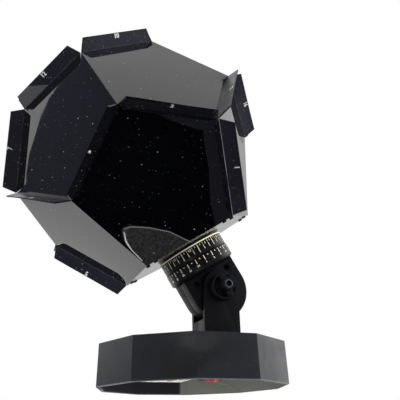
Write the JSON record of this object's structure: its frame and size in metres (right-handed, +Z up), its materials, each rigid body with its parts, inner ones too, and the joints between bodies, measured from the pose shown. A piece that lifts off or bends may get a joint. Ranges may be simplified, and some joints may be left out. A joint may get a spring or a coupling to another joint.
{
  "type": "planetarium projector",
  "caption": "Desk star projector: a folded black film globe on a tilting neck with a turning date ring, over a fork column and a hollow battery foot.",
  "frame": {"origin": "on the table, below the middle of the whole projector's box; the foot's middle is 31.2 mm along +X", "axes": "+Z up; +X to the side that the globe leans away from; +Y to the back, along the tilt axis; the clamp knob is on the -Y side"},
  "size_m": [0.1813, 0.177, 0.2346],
  "materials": {
    "foot_plastic": "fine-textured dark grey moulding",
    "column_plastic": "fine-textured black moulding",
    "head_plastic": "fine-textured black moulding",
    "screw_steel": "blackened steel",
    "bright_steel": "zinc plated steel",
    "knob_plastic": "satin black moulding",
    "scale_ring_plastic": "black with pale printed scale marks",
    "black_card_plastic": "black sheet",
    "gold_edge": "gold coloured edge ring",
    "black_rivet": "black push rivet",
    "lamp_plastic": "heat resistant black moulding",
    "insulator_board": "brown pressed board",
    "lamp_brass": "rolled brass thread",
    "solder": "dull solder",
    "clear_glass": "clear glass",
    "lamp_wire": "fine wire",
    "gloss_film": "glossy black film with fine pale specks",
    "tray_plastic": "pale moulding",
    "foam_pad": "double sided foam pad",
    "cell_wrap": "plain printed sleeve",
    "nickel_plate": "nickel plated spring steel",
    "switch_steel": "pressed steel case",
    "slider_plastic": "black slider",
    "red_lead_skin": "red insulation",
    "black_lead_skin": "black insulation"
  },
  "bodies": {
    "base": {"base_shell": "foot_plastic", "column_front": "column_plastic", "column_back": "column_plastic", "column_foot_screws": "screw_steel", "column_join_screws": "screw_steel", "clamp_washer": "bright_steel", "battery_tray": "tray_plastic", "battery_tray_pad": "foam_pad", "battery_cell_1": "cell_wrap", "battery_cell_2": "cell_wrap", "battery_cell_3": "cell_wrap", "battery_contacts": "nickel_plate", "battery_springs": "nickel_plate", "power_switch_case": "switch_steel", "power_switch_screws": "screw_steel", "power_switch_tags": "nickel_plate", "supply_lead": "red_lead_skin", "switch_lead": "red_lead_skin", "return_lead": "black_lead_skin"},
    "slider": {"power_slider": "slider_plastic"},
    "clamp": {"clamp_knob": "knob_plastic", "clamp_bolt": "bright_steel"},
    "head": {"head_front": "head_plastic", "head_back": "head_plastic", "head_screws": "screw_steel", "clamp_nut": "bright_steel", "neck_cup": "head_plastic", "hour_ring": "scale_ring_plastic", "neck_keeper_ring": "black_card_plastic", "keeper_ring_screws": "screw_steel", "lamp_post": "lamp_plastic", "lamp_post_screws": "screw_steel", "lamp_holder": "lamp_plastic", "lamp_holder_insulator": "insulator_board", "lamp_holder_shell": "lamp_brass", "lamp_holder_contact": "lamp_brass", "bulb_tip": "solder", "bulb_insulator": "insulator_board", "bulb_cap": "lamp_brass", "bulb_glass": "clear_glass", "bulb_bead": "clear_glass", "bulb_support_wires": "lamp_wire", "bulb_filament": "lamp_wire", "lamp_lead_red": "red_lead_skin", "lamp_lead_black": "black_lead_skin"},
    "globe": {"date_ring": "scale_ring_plastic", "gold_edge_ring": "gold_edge", "globe_floor_disc": "black_card_plastic", "date_ring_pins": "black_rivet", "film_sheet_front": "gloss_film", "film_sheet_left": "gloss_film", "film_sheet_rear": "gloss_film", "film_sheet_top": "gloss_film", "film_floor": "gloss_film", "film_rivets": "black_rivet"}
  },
  "joints": [
    {"name": "head_tilt", "type": "hinge", "parent": "base", "child": "head", "pos_m": [0.0487, 0, 0.061], "axis": [0, -1, 0], "range_deg": [-31.5, 18.5]},
    {"name": "globe_turn", "type": "hinge", "parent": "head", "child": "globe", "pos_m": [0.0487, 0, 0.061], "axis": [-0.5225, 0, 0.8526], "continuous": true},
    {"name": "clamp_turn", "type": "hinge", "parent": "base", "child": "clamp", "pos_m": [0.0487, -0.012, 0.061], "axis": [0, -1, 0], "range_deg": [0, 360]},
    {"name": "power_slide", "type": "slide", "parent": "base", "child": "slider", "axis": [0.809, -0.5878, 0], "range_m": [0, 0.0026]}
  ]
}
